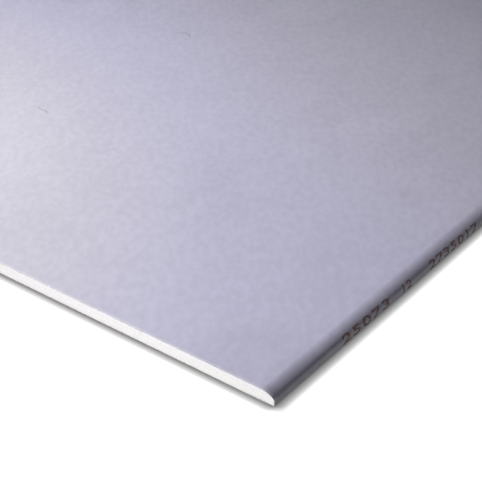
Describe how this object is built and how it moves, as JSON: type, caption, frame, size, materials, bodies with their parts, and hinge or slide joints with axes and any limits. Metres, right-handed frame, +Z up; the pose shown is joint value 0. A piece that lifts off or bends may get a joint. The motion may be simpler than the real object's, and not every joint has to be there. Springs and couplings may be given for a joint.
{
  "type": "drywall sheet",
  "caption": "Paper-faced gypsum board with a white core, half-round long edges and square-cut short ends, for lining walls and ceilings.",
  "frame": {"origin": "middle of the back liner's outer face, on the plane that the board rests on", "axes": "+X along the board and its half-round long edges, +Y across its width, +Z up from the back to the face that shows in a room"},
  "size_m": [2, 1.25, 0.0125],
  "materials": {
    "gypsum": "matte",
    "face_paper": "satin",
    "back_paper": "matte",
    "edge_print": "matte"
  },
  "bodies": {
    "root": {"gypsum_core": "gypsum", "face_liner": "face_paper", "back_liner": "back_paper"}
  },
  "joints": []
}
